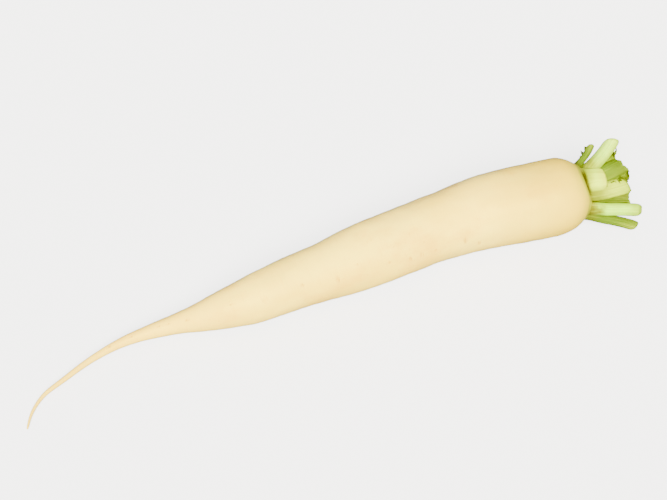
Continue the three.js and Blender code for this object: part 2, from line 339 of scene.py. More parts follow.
class Coat:
    """A grown skin: colours laid one over another, each where the patterns under it let it show."""

    # How far an offset moves a pattern along each of the three grown directions.
    slide: Triple = (1.0, 0.37, -0.61)
    pattern_roughness: float = 0.55

    def __init__(self, name: str, ground: str, values: dict[str, object]) -> None:
        """Starts the skin's material with its lowest colour.

        Args:
            name: The material's name.
            ground: The lowest colour, as an sRGB hex value.
            values: What the shader's inputs are all over the skin, by name.
        """
        self.material = new_material(name, values)
        self.tree = self.material.node_tree
        self.shader = self.tree.nodes["Principled BSDF"]
        grown = add_node(self.tree, "ShaderNodeAttribute", {"attribute_name": "grown"})
        self.grown = grown.outputs["Vector"]
        self.colour = linear(ground)

    def parts(self, attribute: str) -> tuple[Socket, ...]:
        """Splits one of the piece's vector attributes.

        Args:
            attribute: The attribute's name.

        Returns:
            Its three parts.
        """
        vector = add_node(self.tree, "ShaderNodeAttribute", {"attribute_name": attribute})
        split = add_node(self.tree, "ShaderNodeSeparateXYZ", inputs={0: vector.outputs["Vector"]})
        return tuple(split.outputs)

    def spots(self, size: Triple, detail: float, offset: float = 0.0) -> Socket:
        """Lays soft random spots over the grown surface.

        Args:
            size: How long the spots are along each of the three grown directions, in millimetres.
            detail: How many finer layers are laid over the largest spots.
            offset: Moves the pattern, so that two of them don't agree.

        Returns:
            A value about one half.
        """
        place = {
            "Vector": self.grown,
            "Location": [offset * part for part in self.slide],
            "Scale": [1.0 / (length * MM) for length in size],
        }
        moved = add_node(self.tree, "ShaderNodeMapping", inputs=place).outputs[0]
        look = {"Vector": moved, "Scale": 1.0, "Detail": detail, "Roughness": self.pattern_roughness}
        return add_node(self.tree, "ShaderNodeTexNoise", inputs=look).outputs["Fac"]

    def mask(self, most: float | Socket, *limits: tuple[Socket, float, float]) -> float | Socket:
        """Works out where several values are all past their limits.

        Args:
            most: What the mask is where they all are.
            limits: For each, the value, where it begins to count and where it counts in full.

        Returns:
            The mask, with smooth steps.
        """
        for value, start, full in limits:
            step = {"Value": value, "From Min": start, "From Max": full, "To Max": most}
            node = add_node(self.tree, "ShaderNodeMapRange", {"interpolation_type": "SMOOTHSTEP"}, step)
            most = node.outputs["Result"]
        return most

    def weighted(self, base: float, *terms: tuple[Socket, float]) -> Socket:
        """Adds up several values.

        Args:
            base: What they are added to.
            terms: Each value, with the weight that it is multiplied by.

        Returns:
            The sum.
        """
        total = base
        for value, weight in terms:
            product = {0: value, 1: weight, 2: total}
            total = add_node(self.tree, "ShaderNodeMath", {"operation": "MULTIPLY_ADD"}, product).outputs[0]
        return total

    def lay(self, colour: str, most: float | Socket, *limits: tuple[Socket, float, float]) -> None:
        """Lays a colour over those below it.

        Args:
            colour: An sRGB hex value.
            most: How much of it shows at the most.
            limits: Where it shows, as for a mask.
        """
        layers = {0: self.mask(most, *limits), 6: self.colour, 7: linear(colour)}
        self.colour = add_node(self.tree, "ShaderNodeMix", {"data_type": "RGBA"}, layers).outputs[2]

    def finish(self, relief: Socket, strength: float, height: float) -> bpy.types.Material:
        """Gives the shader the colours and a relief that is too fine to model.

        Args:
            relief: The pattern of the relief.
            strength: How strongly it shows.
            height: How high it stands, in millimetres.

        Returns:
            The finished material.
        """
        form = {"Strength": strength, "Distance": height * MM, "Height": relief}
        bump = add_node(self.tree, "ShaderNodeBump", inputs=form)
        set_inputs(self.shader, {"Base Color": self.colour, "Normal": bump.outputs[0]})
        return self.material


# ---------- Root ----------


@dataclass(frozen=True)
class Station:
    """One place along the root's axis: its centre, the directions along and aside, and its radius."""

    centre: Vector
    along: Vector
    side: Vector
    radius: float


@dataclass(frozen=True)
class Swelling:
    """Low lobes that run slantwise round the root, because nothing grows perfectly round."""

    lobes: int
    height: float
    slant: float
    start: float


@dataclass(frozen=True)
class DaikonSkin:
    """The thin washed skin of a fresh daikon: smooth, moist and slightly see-through.

    It gives the eye a cream-white body with a broad soft sheen, faint lines round it, small tan marks
    where fine side roots grew, a warmer tail, and a yellow-green shoulder that has seen the light. Round
    the stalks' feet it turns a darker yellow-green, partly its own colour and partly painted shade, with a
    dark line of painted shade in the crease where the skin folds in under a leaf stalk.
    """

    cream: str = "#EEDB90"
    pale: str = "#F7EAB6"
    warm: str = "#E2BE6C"
    tan: str = "#A97A46"
    tail: str = "#EAD08E"
    shoulder: str = "#D6C436"
    # The collar's yellow-green round the stalks' feet: partly real greening, partly painted shade where the
    # shoulder curves in.
    glow: str = "#BCB84C"
    rim: str = "#748C1C"
    middle: str = "#52700F"
    # Painted shade: the dark line in the crease at the foot of each leaf stalk.
    crease: str = "#30320C"
    roughness: float = 0.42
    # Where the tail's and the shoulder's colours set in, in metres from the crown's peak.
    tail_from: Span = (0.25, 0.36)
    shoulder_from: Span = (0.095, 0.010)
    # The patterns' sizes along, across and up the root. Real pores are finer than these: they are drawn as
    # coarse as they need to be to show.
    patches_mm: Triple = (92.4, 42.0, 42.0)
    flush_mm: Triple = (40.32, 25.2, 25.2)
    lines_mm: Triple = (1.1, 16.0, 16.0)
    speckles_mm: Triple = (1.28, 2.56, 2.56)
    slits_mm: Triple = (0.6, 5.0, 5.0)
    pores_mm: Triple = (0.7, 0.9, 0.9)

    def material(self) -> bpy.types.Material:
        """Makes the skin's material.

        Returns:
            The material.
        """
        flesh = {
            "IOR": 1.36,
            "Specular IOR Level": 0.35,
            "Subsurface Weight": 0.16,
            "Subsurface Radius": (1.0, 0.72, 0.4),
            "Subsurface Scale": 3.0 * MM,
        }
        coat = Coat("daikon_skin", self.cream, flesh)
        length = coat.parts("grown")[0]
        green, mark, crease = (
            add_node(coat.tree, "ShaderNodeAttribute", {"attribute_name": name}).outputs["Fac"]
            for name in ("green", "mark", "crease")
        )
        patches = coat.spots(self.patches_mm, 3.0)
        flush = coat.spots(self.flush_mm, 4.0, 7.3)
        lines = coat.spots(self.lines_mm, 3.0, 2.1)
        speckles = coat.spots(self.speckles_mm, 1.0, 4.7)
        slits = coat.spots(self.slits_mm, 1.0, 6.3)
        pores = coat.spots(self.pores_mm, 2.0, 9.0)
        scar = coat.mask(mark, (slits, 0.46, 0.62))

        # Each colour with how much of it shows at the most, and from which value to which it sets in.
        coat.lay(self.pale, 1.0, (patches, 0.34, 0.62))
        coat.lay(self.warm, 0.6, (flush, 0.48, 0.74))
        coat.lay(self.warm, 0.22, (lines, 0.52, 0.8))
        coat.lay(self.tan, 0.4, (speckles, 0.66, 0.8), (flush, 0.42, 0.66))
        coat.lay(self.tail, 0.55, (length, *self.tail_from))
        coat.lay(self.shoulder, 0.9, (length, *self.shoulder_from))
        coat.lay(self.warm, coat.weighted(0.0, (mark, 0.25)))
        coat.lay(self.tan, coat.weighted(0.0, (scar, 0.55)))
        # The collar's yellow-green, partly painted shade round the stalks' feet.
        coat.lay(self.glow, 0.85, (green, 0.0, 1.0))
        coat.lay(self.rim, 0.8, (green, 0.88, 1.0))
        coat.lay(self.middle, 1.0, (green, 1.05, 1.6))
        # Painted shade in the crease at each stalk's foot.
        coat.lay(self.crease, crease)

        duller = coat.mask(0.12, (patches, 0.3, 0.7))
        rough = coat.weighted(self.roughness - 0.05, (duller, 1.0))
        set_inputs(coat.shader, {"Roughness": rough})
        return coat.finish(coat.weighted(0.0, (lines, 0.8), (pores, 0.35), (scar, -0.8)), 0.35, 0.12)


@dataclass
class SideRootMarks:
    """The shallow marks in two opposite rows along the root, where its fine side roots grew."""

    seed: int = 11
    row: float = 2.75
    # How far along the root a row comes one radian round it, and how far round a mark may be off its row.
    row_twist: float = 260.0
    off_row: float = 0.24
    first: float = 96.0
    last: float = 400.0
    gaps: Span = (5.0, 32.0)
    depth: float = 0.22
    height: float = 2.4
    half_widths: Span = (1.2, 4.6)
    # By how much they narrow towards the tail, and where.
    slimming: float = 0.6
    slimming_from: Span = (260.0, 320.0)
    # How far out in a mark it is full, and where it ends.
    edge: Span = (0.2, 1.0)

    def __post_init__(self) -> None:
        """Scatters the marks, each with its distance, its angle round the root and its half width."""
        scatter = random.Random(self.seed)
        self.marks: list[Triple] = []
        for row in (self.row, self.row + math.pi):
            distance = self.first
            while distance < self.last:
                angle = row + distance / self.row_twist + scatter.gauss(0.0, self.off_row)
                slim = 1.0 - self.slimming * smooth(distance, *self.slimming_from)
                self.marks.append((distance, angle % TURN, scatter.uniform(*self.half_widths) * slim))
                distance += scatter.uniform(*self.gaps)

    def share(self, distance: float, angle: float, radius: float) -> float:
        """Works out how deep in a mark a place on the skin is.

        Args:
            distance: Along the root's axis.
            angle: Round the axis.
            radius: From the axis.

        Returns:
            From 0 off the marks to 1 in the middle of one.
        """
        deepest = 0.0
        for place, turn, half_width in self.marks:
            if abs(place - distance) < self.height:
                sideways = abs((angle - turn + math.pi) % TURN - math.pi) * radius
                off = math.hypot((place - distance) / self.height, sideways / half_width)
                deepest = max(deepest, 1.0 - smooth(off, *self.edge))
        return deepest


@dataclass
class Root:
    """The whole root, from its blunt shoulder at the crown to the tip of its thin tail."""

    # The axis seen from above: distance from the crown's peak, x and y.
    plan: tuple[Triple, ...] = (
        (0, 123, -21.4), (19.4, 104, -17.5), (50.5, 74, -9.2), (79.4, 46, -2.4), (105.6, 20, 1),
        (150.6, -25, 2), (195.6, -70, 1.4), (235.6, -110, 2.6), (275.7, -150, 3.4), (306.2, -180, 8.8),
        (336.8, -210, 15.2), (370, -243, 17.4), (395.3, -268, 13.4), (422.7, -294, 5), (437.6, -308, 0),
        (454.7, -321, -11), (467.7, -328, -22),
    )
    # Radius at distances along the axis.
    radii: tuple[Span, ...] = (
        (0, 29.3), (36, 30), (75, 28.9), (105, 26.4), (133, 25.1), (171, 24.6), (193, 23.4), (218, 20.9),
        (248, 19.3), (275, 17.4), (290, 15.2), (303, 12.5), (318, 9.3), (335, 6.6), (353, 4.8),
        (378, 3.2), (405, 2.2), (433, 1.6), (469, 0.7),
    )
    # How far the underside stands off the surface. Below zero, the root is pressed flat on it.
    lifts: tuple[Span, ...] = (
        (0, 4.4), (14, 3.2), (28, 1.2), (42, -0.2), (58, -0.8), (120, -0.8), (190, -0.8), (238, 0.6),
        (323, 2.2), (378, 2.8), (433, 1.6), (469, 0.4),
    )
    swellings: tuple[Swelling, ...] = (
        Swelling(2, 0.011, 58, 0.0),
        Swelling(3, 0.007, -31, 1.2),
        Swelling(5, 0.006, 17, 0.0),
    )
    length: float = 467.7
    shoulder_length: float = 29.0
    shoulder_bluntness: float = 2.35
    peak_radius: float = 1.2
    sides: int = 40
    shoulder_rings: int = 18
    ring_step: float = 5.6
    samples: int = 900
    # Along how much of the axis its direction is measured.
    bearing: float = 1.0
    unevenness: float = 0.6
    uneven_length: float = 34.0
    # The unevenness's roughness, how much finer each of its layers is, and how many it has.
    uneven_layers: tuple[float, float, int] = (0.9, 2.1, 3)
    wrinkles: float = 0.12
    wrinkle_length: float = 3.4
    # How often a wrinkle changes on the way round, and from where they show.
    wrinkle_turns: float = 2.4
    wrinkled_from: Span = (6.0, 30.0)
    # Round the crown's peak: where the unevenness sets in, and where the green of the heart ends.
    even_within: float = 9.0
    peak_green: Span = (18.0, 9.0)
    # How far past the shoulder the stalks' feet can reach.
    foot_reach: float = 8.0
    marks: SideRootMarks = field(default_factory=SideRootMarks)
    skin: DaikonSkin = field(default_factory=DaikonSkin)

    def __post_init__(self) -> None:
        """Turns the tables into curves."""
        self._x = Curve([(row[0], row[1]) for row in self.plan])
        self._y = Curve([(row[0], row[2]) for row in self.plan])
        self._radius = Curve(self.radii)
        self._lift = Curve(self.lifts)
        self.piece: Piece | None = None

    def shoulder(self, share: float) -> float:
        """Returns the share of the full radius at a share of the shoulder, from where it is full."""
        blunt = self.shoulder_bluntness
        return (1.0 - share**blunt) ** (1.0 / blunt)

    def shoulder_depth(self, radius: float) -> float:
        """Returns how far behind the crown's peak the shoulder is at a distance from its axis."""
        return self.shoulder_length * (1.0 - self.shoulder(min(radius / self.radii[0][1], 1.0)))

    def station(self, distance: float) -> Station:
        """Finds a place along the root's axis.

        Args:
            distance: From the crown's peak, in millimetres along the axis.

        Returns:
            The axis and the root's radius there.
        """
        full = self._radius.at(distance)
        centre = Vector((self._x.at(distance), self._y.at(distance), full + self._lift.at(distance)))
        near = max(distance - self.bearing / 2.0, 0.0)
        far = min(distance + self.bearing / 2.0, self.length)
        ahead = Vector((self._x.at(far) - self._x.at(near), self._y.at(far) - self._y.at(near), 0.0))
        along = ahead.normalized()
        radius = full
        if distance < self.shoulder_length:
            radius = max(self.peak_radius, full * self.shoulder(1.0 - distance / self.shoulder_length))
        return Station(centre, along, UP.cross(along).normalized(), radius)

    def distances(self) -> list[float]:
        """Places the root's rings, closer together round the shoulder.

        Returns:
            How far along the axis each is, in millimetres.
        """
        turns = [0.25 * TURN * i / self.shoulder_rings for i in range(self.shoulder_rings)]
        steps = round((self.length - self.shoulder_length) / self.ring_step)
        return [
            *(self.shoulder_length * (1.0 - math.cos(turn)) for turn in turns),
            *(lerp(self.shoulder_length, self.length, i / steps) for i in range(steps + 1)),
        ]

    def rough_out(self) -> None:
        """Extrudes the root ring by ring from the crown's peak to the tip, and rounds it off."""
        # Subdivision draws a ring of straight sides in to its limit circle, so each starts larger.
        outset = 3.0 / (2.0 + math.cos(TURN / self.sides))
        places = self.distances()
        here = self.station(places[0])
        pick()
        bpy.ops.mesh.primitive_circle_add(
            vertices=self.sides,
            radius=here.radius * outset * MM,
            fill_type="NGON",
            location=here.centre * MM,
            rotation=Euler((0.0, math.pi / 2.0, math.atan2(here.along.y, here.along.x))),
        )
        self.piece = named_primitive("grown_root")
        bpy.ops.object.transform_apply(location=True, rotation=True, scale=True)
        bpy.ops.object.mode_set(mode="EDIT")
        for distance in places[1:]:
            there = self.station(distance)
            step = (there.centre - here.centre) * MM
            bpy.ops.mesh.extrude_region_move(TRANSFORM_OT_translate={"value": step})
            turn = here.along.to_2d().angle_signed(there.along.to_2d())
            middle = there.centre * MM
            bpy.ops.transform.rotate(value=turn, orient_axis="Z", center_override=middle)
            bpy.ops.transform.resize(value=[there.radius / here.radius] * 3, center_override=middle)
            here = there
        settle(self.piece)
        round_off(self.piece, 2)

    def places_of(self, points: Sequence[Vector]) -> list[tuple[float, Vector, Vector]]:
        """Finds where points lie along the root.

        Args:
            points: In millimetres.

        Returns:
            For each, its distance along the axis, its place aside and up from it, and the direction aside.
        """
        samples = [self.station(i * self.length / self.samples) for i in range(self.samples + 1)]
        places = []
        for point in points:
            low, high = 0, self.samples
            while high - low > 1:
                middle = (low + high) // 2
                ahead = (point - samples[middle].centre).dot(samples[middle].along)
                low, high = (middle, high) if ahead > 0.0 else (low, middle)
            nearest = samples[low]
            offset = point - nearest.centre
            distance = low * self.length / self.samples + offset.dot(nearest.along)
            across = Vector((0.0, offset.dot(nearest.side), offset.z))
            places.append((distance, across, nearest.side))
        return places

    def rise(self, corner: Vector, distance: float, angle: float, radius: float, mark: float) -> float:
        """Works out how far the grown skin stands out from the smooth form.

        Args:
            corner: The place on the smooth form.
            distance: Its distance along the axis.
            angle: Its angle round the axis.
            radius: Its distance from the axis.
            mark: How deep in a side root's mark it is.

        Returns:
            The rise there, in millimetres.
        """
        round_it = self.wrinkle_turns * math.cos(angle), self.wrinkle_turns * math.sin(angle)
        rise = self.unevenness * noise.fractal(corner / self.uneven_length, *self.uneven_layers)
        wrinkle = noise.noise(Vector((distance / self.wrinkle_length, *round_it)))
        rise += self.wrinkles * wrinkle * smooth(distance, *self.wrinkled_from)
        rise -= self.marks.depth * mark
        swelling = sum(
            lobe.height * math.sin(lobe.lobes * angle + distance / lobe.slant + lobe.start)
            for lobe in self.swellings
        )
        return rise * smooth(radius, 0.0, self.even_within) + radius * swelling

    def grow_skin(self, feet: Sequence[Foot]) -> None:
        """Gives the rounded-off root its swellings, wrinkles, marks and the collars round the stalks' feet.

        Args:
            feet: Where the leaf stalks stand in the crown.
        """
        points = self.piece.data.vertices
        corners = [point.co / MM for point in points]
        grown, greens, marks, creases, moved = [], [], [], [], []
        for corner, (distance, across, aside) in zip(corners, self.places_of(corners)):
            angle = math.atan2(across.z, across.y) % TURN
            radius = across.length
            mark = self.marks.share(distance, angle, radius)
            outwards = (aside * across.y + UP * across.z).normalized()
            corner = corner + outwards * self.rise(corner, distance, angle, radius, mark)
            green, crease = 0.0, 0.0
            if distance < self.shoulder_length + self.foot_reach:
                # The collar's lift, its green and the painted shade in the crease at each foot.
                lift, green, crease = collar(feet, corner)
                green += smooth(radius, *self.peak_green)
                corner += lift
            corner.z = max(corner.z, 0.0)
            grown.append(Vector((distance, across.y, across.z)) * MM)
            greens.append(green)
            marks.append(mark)
            creases.append(crease)
            moved.extend(corner * MM)
        points.foreach_set("co", moved)
        self.piece.data.update()
        write_attributes(self.piece, grown=grown, green=greens, mark=marks, crease=creases)

    def dress(self) -> None:
        """Gives the root its skin and says which node it stands for."""
        self.piece.data.materials.clear()
        self.piece.data.materials.append(self.skin.material())
        stand_for(self.piece, "taproot")


def stand_for(piece: Piece, node: str) -> None:
    """Says which node of the part a finished piece stands for, and reports the piece.

    Args:
        piece: The finished piece.
        node: The node's name.
    """
    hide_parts(node)
    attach(piece, "root")
    piece.data.calc_loop_triangles()
    LOG.info("%s: %d triangles", piece.name, len(piece.data.loop_triangles))


# ---------- Leaf stalks ----------


class Side(Enum):
    """The two side edges of a stalk, as seen along it."""

    LEFT = -1
    RIGHT = 1


@dataclass(frozen=True)
class Crown:
    """The middle of the crown, which the leaf stalks stand round: its peak and its directions."""

    root: Root
    peak: Vector
    axis: Vector
    aside: Vector

    @classmethod
    def of(cls, root: Root) -> Crown:
        """Returns the crown at the start of a root's axis."""
        station = root.station(0.0)
        return cls(root, station.centre, -station.along, station.side)

    def outward(self, around: float) -> Vector:
        """Returns the direction away from the crown's axis at an angle round it, in degrees."""
        angle = math.radians(around)
        return UP * math.cos(angle) + self.aside * math.sin(angle)

    def above(self, point: Vector) -> float:
        """Measures how far above the shoulder's skin a point is.

        Args:
            point: In millimetres.

        Returns:
            The height along the crown's axis, in millimetres.
        """
        offset = point - self.peak
        height = offset.dot(self.axis)
        return height + self.root.shoulder_depth((offset - self.axis * height).length)


@dataclass(frozen=True)
class Cross:
    """A stalk's cross section at one place along it."""

    middle: Vector
    along: Vector
    out: Vector
    aside: Vector
    width: float
    thick: float
    bend: float
    slopes: Span

    def point(self, across: float, height: float) -> Vector:
        """Finds a point of the section.

        Args:
            across: From -1 to 1 over its width.
            height: Outward from its bent middle line, in millimetres.

        Returns:
            The point, in millimetres.
        """
        bow = self.width / (2.0 * self.bend)
        angle = across * self.bend
        sideways = (bow + height) * math.sin(angle)
        outwards = (bow + height) * math.cos(angle) - bow
        ahead = self.slopes[0] * outwards + self.slopes[1] * sideways
        return self.middle + self.aside * sideways + self.out * outwards + self.along * ahead

    def off_edge(self, point: Vector, outer_share: float) -> float:
        """Measures how far outside the section's edge a point is.

        Args:
            point: In millimetres.
            outer_share: How much of the stalk's thickness is outside its middle line.

        Returns:
            The distance, in millimetres, and below zero inside the edge.
        """
        offset = point - self.middle
        bow = self.width / (2.0 * self.bend)
        sideways, outwards = offset.dot(self.aside), offset.dot(self.out) + bow
        along_bow = math.atan2(sideways, outwards) * bow
        height = math.hypot(sideways, outwards) - bow
        half_thick = self.thick * (outer_share if height > 0.0 else 1.0 - outer_share)
        reach = math.hypot(along_bow / (self.width / 2.0), height / half_thick)
        if reach < 1e-6:
            return -half_thick
        return math.hypot(along_bow, height) * (1.0 - 1.0 / reach)


def creased(across: float) -> float:
    """Returns how dark the painted shade in the crease at a stalk's foot is at a place across it, from -1
    to 1.
    """
    deepest, ends, full = 0.3, 1.1, 0.5
    return smooth(abs(across - deepest), ends, full)


@dataclass(frozen=True)
class Foot:
    """Where a stalk leaves the crown, and what it does to the skin there."""

    cross: Cross
    outer_share: float
    collar: float
    crease: float
    # How steeply the collar falls away from the stalk, and how far along the stalk it fades out.
    collar_fall: float = 1.1
    collar_along: Span = (14.0, 7.0)
    # How far off the stalk and along it the green fades out. Near the stalk the green also stands in
    # as painted shade where the shoulder curves in.
    green_off: Span = (15.0, 0.6)
    green_along: Span = (24.0, 5.0)
    # How far off the stalk the painted shade in the crease is deepest, and its half width.
    crease_off: float = 0.3
    crease_width: Span = (1.2, 0.3)

    def effect(self, point: Vector) -> Triple:
        """Works out what the stalk does to the crown at a point.

        Args:
            point: On the crown, in millimetres.

        Returns:
            How high the collar is there, how green the skin is, partly as painted shade, and how dark the
            painted shade in its crease is.
        """
        offset = point - self.cross.middle
        ahead = abs(offset.dot(self.cross.along))
        if ahead > self.green_along[0]:
            return 0.0, 0.0, 0.0
        off = self.cross.off_edge(point, self.outer_share)
        height = self.collar * math.exp(-max(off, 0.0) / self.collar_fall)
        green = smooth(off, *self.green_off) * smooth(ahead, *self.green_along)
        line = smooth(abs(off - self.crease_off), *self.crease_width)
        across = offset.dot(self.cross.aside) * 2.0 / self.cross.width
        return height * smooth(ahead, *self.collar_along), green, self.crease * creased(across) * line


def collar(feet: Sequence[Foot], point: Vector) -> tuple[Vector, float, float]:
    """Works out what all the stalks' feet do to the crown at a point.

    Args:
        feet: The feet of the stalks.
        point: On the crown, in millimetres.

    Returns:
        How far the skin is drawn up there, how green it is, partly as painted shade, and how dark the
        painted shade in its crease is.
    """
    effects = [foot.effect(point) for foot in feet]
    heights = [height for height, _, _ in effects]
    highest = heights.index(max(heights))
    lift = feet[highest].cross.along * heights[highest]
    return lift, max(green for _, green, _ in effects), max(crease for _, _, crease in effects)


@dataclass(frozen=True)
class StalkSkin:
    """The waxy skin of a radish leaf stalk and the moist face of its cut.

    It gives the eye a pale stalk with fine lengthwise veins and greener edges, which are also darkened
    as painted shade that rounds it, a yellow-green foot with a line of painted shade in the crease where
    it meets the crown, and a whitish cut face with a green rim and a ring of sap vessels.
    """

    name: str
    foot: str
    middle: str
    end: str
    edge: str
    cut: str = "#CCEC80"
    cut_rim: str = "#608120"
    vessel: str = "#8FAF4F"
    streak: str = "#C6EA78"
    # Painted shade: the dark line in the crease where the stalk meets the crown.
    crease: str = "#2E3008"
    # From where to where the foot's colour gives way to the middle's, and that to the end's.
    foot_start: float = 0.06
    foot_reach: float = 0.42
    end_from: Span = (0.62, 1.0)
    roughness: float = 0.46
    # The patterns' sizes across, through and along the stalk. A vein's width is set by itself.
    vein_mm: float = 0.8
    vein_length_mm: float = 26.0
    clouds_mm: Triple = (5.0, 5.0, 9.0)
    vessels_mm: Triple = (1.3, 1.3, 30.0)

    def material(self) -> bpy.types.Material:
        """Makes the stalk's material.

        Returns:
            The material.
        """
        flesh = {
            "Roughness": self.roughness,
            "IOR": 1.42,
            "Specular IOR Level": 0.12,
            "Subsurface Weight": 0.25,
            "Subsurface Radius": (0.9, 1.0, 0.35),
            "Subsurface Scale": 2.5 * MM,
        }
        coat = Coat(f"stalk_skin_{self.name}", self.foot, flesh)
        edge, cut, share = coat.parts("zone")
        crease = add_node(coat.tree, "ShaderNodeAttribute", {"attribute_name": "crease"}).outputs["Fac"]
        veins = coat.spots((self.vein_mm, self.vein_mm, self.vein_length_mm), 2.0)
        clouds = coat.spots(self.clouds_mm, 3.0, 3.1)
        vessels = coat.spots(self.vessels_mm, 1.0, 5.9)
        uneven_share = coat.weighted(-0.175, (share, 1.0), (clouds, 0.35))
        uneven_edge = coat.weighted(-0.2, (edge, 1.0), (clouds, 0.4))

        coat.lay(self.middle, 1.0, (uneven_share, self.foot_start, self.foot_reach))
        coat.lay(self.end, 1.0, (uneven_share, *self.end_from))
        coat.lay(self.edge, 0.38, (veins, 0.5, 0.72))
        coat.lay(self.streak, 0.28, (veins, 0.46, 0.28))
        # The edges' greener colour, laid wide over both sides: partly real greener margins, partly painted
        # shade that rounds the stalk.
        coat.lay(self.edge, 0.75, (uneven_edge, 0.5, 1.02), (share, 0.08, 0.3))
        coat.lay(self.cut_rim, 0.55, (share, 0.955, 1.0))
        # Painted shade in the crease at the stalk's foot.
        coat.lay(self.crease, crease)
        coat.lay(self.cut_rim, 1.0, (cut, 0.30, 0.48))
        coat.lay(self.cut, 1.0, (cut, 0.50, 0.66))
        coat.lay(self.vessel, 0.8, (vessels, 0.56, 0.68), (cut, 0.98, 0.72), (cut, 0.30, 0.48))
        return coat.finish(veins, 0.5, 0.15)


class Tone(Enum):
    """How far a leaf stalk has greened. Outer stalks are often blanched, and inner ones stay green."""

    # The colours of the foot, the middle, the end and the edges.
    # The whitish stalks' darker foot colour reaches far up them: partly their greener base, partly painted
    # shade on their lower side among the other stalks.
    WHITISH = StalkSkin(
        "whitish", "#7E961E", "#ADEE70", "#BCF68C", "#7DA23C", foot_start=0.3, foot_reach=0.72
    )
    CREAMY = StalkSkin("creamy", "#78901C", "#B8E43A", "#B4D040", "#84A01C", foot_reach=0.62)
    YELLOWISH = StalkSkin(
        "yellowish", "#6A7E16", "#A8CC1E", "#90B41C", "#74901A", foot_start=0.2, foot_reach=0.8
    )
    PALE = StalkSkin("pale", "#5C6406", "#A8F040", "#90C04C", "#86B438", foot_start=0.15, foot_reach=0.4)
    # The olive stalk's dark green is partly its own colour, partly a painted shadow of the stalks over it.
    OLIVE = StalkSkin("olive", "#46540E", "#465E0A", "#42590A", "#384A08")
    GREEN = StalkSkin("green", "#576A14", "#577C1A", "#7D9C23", "#415D11")
    LEAFY = StalkSkin("leafy", "#576A14", "#597A19", "#4D6A14", "#3B520E")
    YOUNG = StalkSkin("young", "#7B851C", "#657F1A", "#517016", "#3F570F", vein_mm=0.5)


@dataclass(frozen=True)
class LeafBlade:
    """The thin blade of a radish leaf, torn along the stalk.

    It gives the eye a matt fresh green that is darker towards its ragged edge, with pale veins running out.
    """

    near: str = "#6C8C1A"
    far: str = "#42560F"
    vein: str = "#8CAC2E"
    roughness: float = 0.55
    clouds_mm: Triple = (2.5, 2.5, 2.5)
    veins_mm: Triple = (6.0, 6.0, 0.7)

    def material(self) -> bpy.types.Material:
        """Makes the blade's material.

        Returns:
            The material.
        """
        tissue = {
            "Roughness": self.roughness,
            "Specular IOR Level": 0.1,
            "Subsurface Weight": 0.2,
            "Subsurface Radius": (0.7, 1.0, 0.25),
            "Subsurface Scale": 1.0 * MM,
        }
        coat = Coat("leaf_blade", self.near, tissue)
        clouds = coat.spots(self.clouds_mm, 3.0)
        veins = coat.spots(self.veins_mm, 1.0, 2.9)
        reach = coat.weighted(-0.25, (coat.parts("zone")[0], 1.0), (clouds, 0.5))
        coat.lay(self.far, 1.0, (reach, 0.1, 0.8))
        coat.lay(self.vein, 0.5, (veins, 0.56, 0.7))
        return coat.finish(clouds, 0.6, 0.2)


@cache
def material_of(finish: StalkSkin | LeafBlade) -> bpy.types.Material:
    """Returns a finish's material, which is made once."""
    return finish.material()


